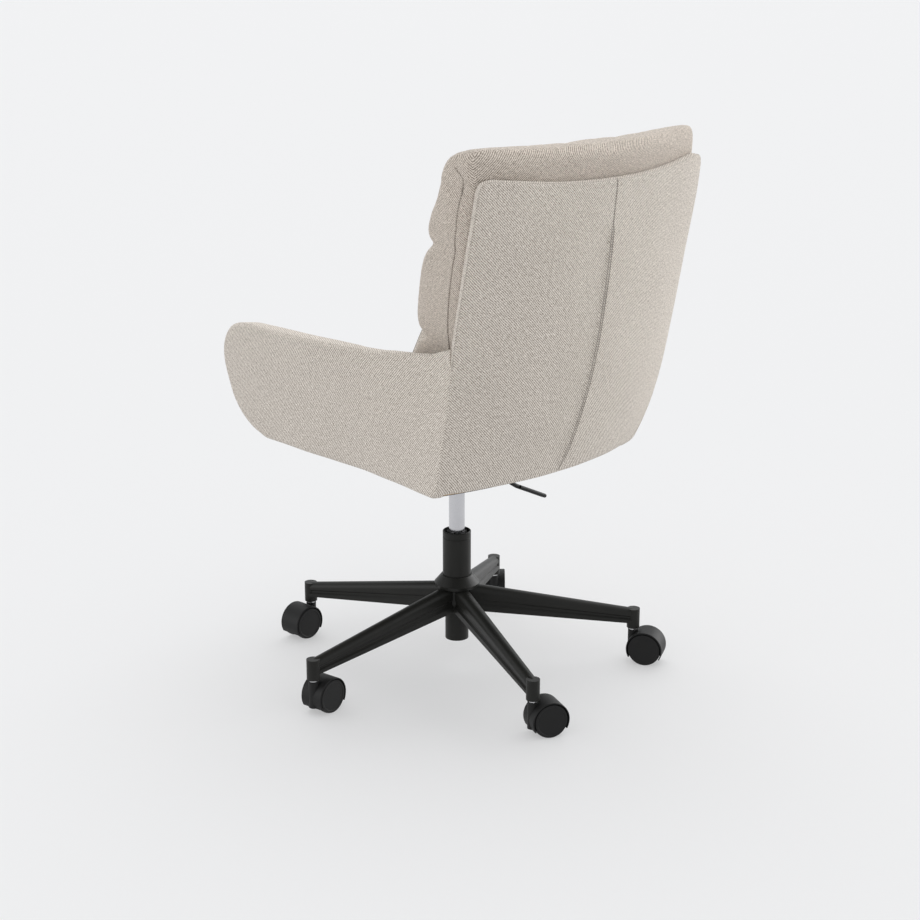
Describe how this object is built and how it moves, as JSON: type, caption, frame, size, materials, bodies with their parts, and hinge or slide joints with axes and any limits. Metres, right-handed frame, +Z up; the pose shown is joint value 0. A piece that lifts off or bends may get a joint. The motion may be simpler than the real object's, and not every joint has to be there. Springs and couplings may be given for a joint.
{
  "type": "swivel office chair",
  "caption": "Upholstered swivel office chair with curved arms, a channelled back cushion, gas lift and a five-star base on twin-wheel casters.",
  "frame": {"origin": "on the floor plane, on the axis of the column", "axes": "+Z up along the column axis, +X to the sitter's left, the chair faces -Y"},
  "size_m": [0.6546, 0.7122, 0.972],
  "materials": {
    "upholstery_fabric": "heathered greige woven fabric with a fine diagonal weave",
    "satin_black_paint": "satin black powder coat",
    "black_plastic": "matte black moulded plastic",
    "bright_cylinder": "bright plated, fine circumferential polish",
    "steel": "plain machined steel",
    "rubber": "matte",
    "plywood": "raw birch plywood",
    "black_cloth": "black non-woven cloth"
  },
  "bodies": {
    "base": {"star_hub": "satin_black_paint", "star_arm_1": "satin_black_paint", "star_arm_2": "satin_black_paint", "star_arm_3": "satin_black_paint", "star_arm_4": "satin_black_paint", "star_arm_5": "satin_black_paint", "stand_tube": "satin_black_paint", "guide_bush": "black_plastic", "lower_race": "steel", "caster_stems": "steel"},
    "spindle": {"piston_rod": "steel", "piston": "steel", "upper_race": "steel", "bearing_balls": "steel", "bearing_cage": "black_plastic", "bump_stop": "rubber", "rod_clip": "steel"},
    "seat": {"gas_cylinder": "bright_cylinder", "cylinder_gland": "steel", "taper_socket": "satin_black_paint", "mechanism_plate": "satin_black_paint", "lever_pin": "steel", "plate_bolts": "steel", "seat_pan": "plywood", "dust_cover": "black_cloth", "back_board": "plywood", "arm_board_left": "plywood", "arm_board_right": "plywood", "seat_base": "upholstery_fabric", "back_shell": "upholstery_fabric", "arm_left": "upholstery_fabric", "arm_right": "upholstery_fabric", "seat_cushion": "upholstery_fabric", "back_cushion_lower": "upholstery_fabric", "back_cushion_middle": "upholstery_fabric", "back_cushion_top": "upholstery_fabric"},
    "lever": {"lever_rod": "satin_black_paint", "lever_grip": "black_plastic"},
    "release_pin": {"release_pin": "steel"},
    "caster_1": {"caster_1_hood": "black_plastic", "caster_1_axle": "steel"},
    "caster_1_wheel_left": {"caster_1_wheel_left": "black_plastic"},
    "caster_1_wheel_right": {"caster_1_wheel_right": "black_plastic"},
    "caster_2": {"caster_2_hood": "black_plastic", "caster_2_axle": "steel"},
    "caster_2_wheel_left": {"caster_2_wheel_left": "black_plastic"},
    "caster_2_wheel_right": {"caster_2_wheel_right": "black_plastic"},
    "caster_3": {"caster_3_hood": "black_plastic", "caster_3_axle": "steel"},
    "caster_3_wheel_left": {"caster_3_wheel_left": "black_plastic"},
    "caster_3_wheel_right": {"caster_3_wheel_right": "black_plastic"},
    "caster_4": {"caster_4_hood": "black_plastic", "caster_4_axle": "steel"},
    "caster_4_wheel_left": {"caster_4_wheel_left": "black_plastic"},
    "caster_4_wheel_right": {"caster_4_wheel_right": "black_plastic"},
    "caster_5": {"caster_5_hood": "black_plastic", "caster_5_axle": "steel"},
    "caster_5_wheel_left": {"caster_5_wheel_left": "black_plastic"},
    "caster_5_wheel_right": {"caster_5_wheel_right": "black_plastic"}
  },
  "joints": [
    {"name": "seat_swivel", "type": "hinge", "parent": "base", "child": "spindle", "pos_m": [0, 0, 0.07], "axis": [0, 0, 1], "continuous": true},
    {"name": "seat_lift", "type": "slide", "parent": "spindle", "child": "seat", "axis": [0, 0, 1], "range_m": [-0.065, 0.035]},
    {"name": "lever_hinge", "type": "hinge", "parent": "seat", "child": "lever", "pos_m": [-0.034, 0, 0.387], "axis": [0, 1, 0], "range_deg": [0, 10], "stiffness_Nm_per_rad": 1.5},
    {"name": "release_pin_slide", "type": "slide", "parent": "seat", "child": "release_pin", "axis": [0, 0, 1], "range_m": [-0.006, 0]},
    {"name": "caster_1_swivel", "type": "hinge", "parent": "base", "child": "caster_1", "pos_m": [0.31957, -0.01652, 0.04], "axis": [0, 0, 1], "continuous": true},
    {"name": "caster_1_wheel_left_spin", "type": "hinge", "parent": "caster_1", "child": "caster_1_wheel_left", "pos_m": [0.29511, -0.01996, 0.03], "axis": [0.1392, -0.9903, 0], "continuous": true},
    {"name": "caster_1_wheel_right_spin", "type": "hinge", "parent": "caster_1", "child": "caster_1_wheel_right", "pos_m": [0.29511, -0.01996, 0.03], "axis": [0.1392, -0.9903, 0], "continuous": true},
    {"name": "caster_2_swivel", "type": "hinge", "parent": "base", "child": "caster_2", "pos_m": [0.11447, 0.29883, 0.04], "axis": [0, 0, 1], "continuous": true},
    {"name": "caster_2_wheel_left_spin", "type": "hinge", "parent": "caster_2", "child": "caster_2_wheel_left", "pos_m": [0.09173, 0.30848, 0.03], "axis": [-0.3907, -0.9205, 0], "continuous": true},
    {"name": "caster_2_wheel_right_spin", "type": "hinge", "parent": "caster_2", "child": "caster_2_wheel_right", "pos_m": [0.09173, 0.30848, 0.03], "axis": [-0.3907, -0.9205, 0], "continuous": true},
    {"name": "caster_3_swivel", "type": "hinge", "parent": "base", "child": "caster_3", "pos_m": [-0.24883, 0.20121, 0.04], "axis": [0, 0, 1], "continuous": true},
    {"name": "caster_3_wheel_left_spin", "type": "hinge", "parent": "caster_3", "child": "caster_3_wheel_left", "pos_m": [-0.2608, 0.22281, 0.03], "axis": [-0.8746, -0.4848, 0], "continuous": true},
    {"name": "caster_3_wheel_right_spin", "type": "hinge", "parent": "caster_3", "child": "caster_3_wheel_right", "pos_m": [-0.2608, 0.22281, 0.03], "axis": [-0.8746, -0.4848, 0], "continuous": true},
    {"name": "caster_4_swivel", "type": "hinge", "parent": "base", "child": "caster_4", "pos_m": [-0.26825, -0.17447, 0.04], "axis": [0, 0, 1], "continuous": true},
    {"name": "caster_4_wheel_left_spin", "type": "hinge", "parent": "caster_4", "child": "caster_4_wheel_left", "pos_m": [-0.28541, -0.19224, 0.03], "axis": [0.7193, -0.6947, 0], "continuous": true},
    {"name": "caster_4_wheel_right_spin", "type": "hinge", "parent": "caster_4", "child": "caster_4_wheel_right", "pos_m": [-0.28541, -0.19224, 0.03], "axis": [0.7193, -0.6947, 0], "continuous": true},
    {"name": "caster_5_swivel", "type": "hinge", "parent": "base", "child": "caster_5", "pos_m": [0.08304, -0.30904, 0.04], "axis": [0, 0, 1], "continuous": true},
    {"name": "caster_5_wheel_left_spin", "type": "hinge", "parent": "caster_5", "child": "caster_5_wheel_left", "pos_m": [0.10768, -0.30732, 0.03], "axis": [-0.0698, 0.9976, 0], "continuous": true},
    {"name": "caster_5_wheel_right_spin", "type": "hinge", "parent": "caster_5", "child": "caster_5_wheel_right", "pos_m": [0.10768, -0.30732, 0.03], "axis": [-0.0698, 0.9976, 0], "continuous": true}
  ],
  "couplings": [
    {"joint": "release_pin_slide", "follows": "lever_hinge", "m_per_rad": -0.034}
  ]
}
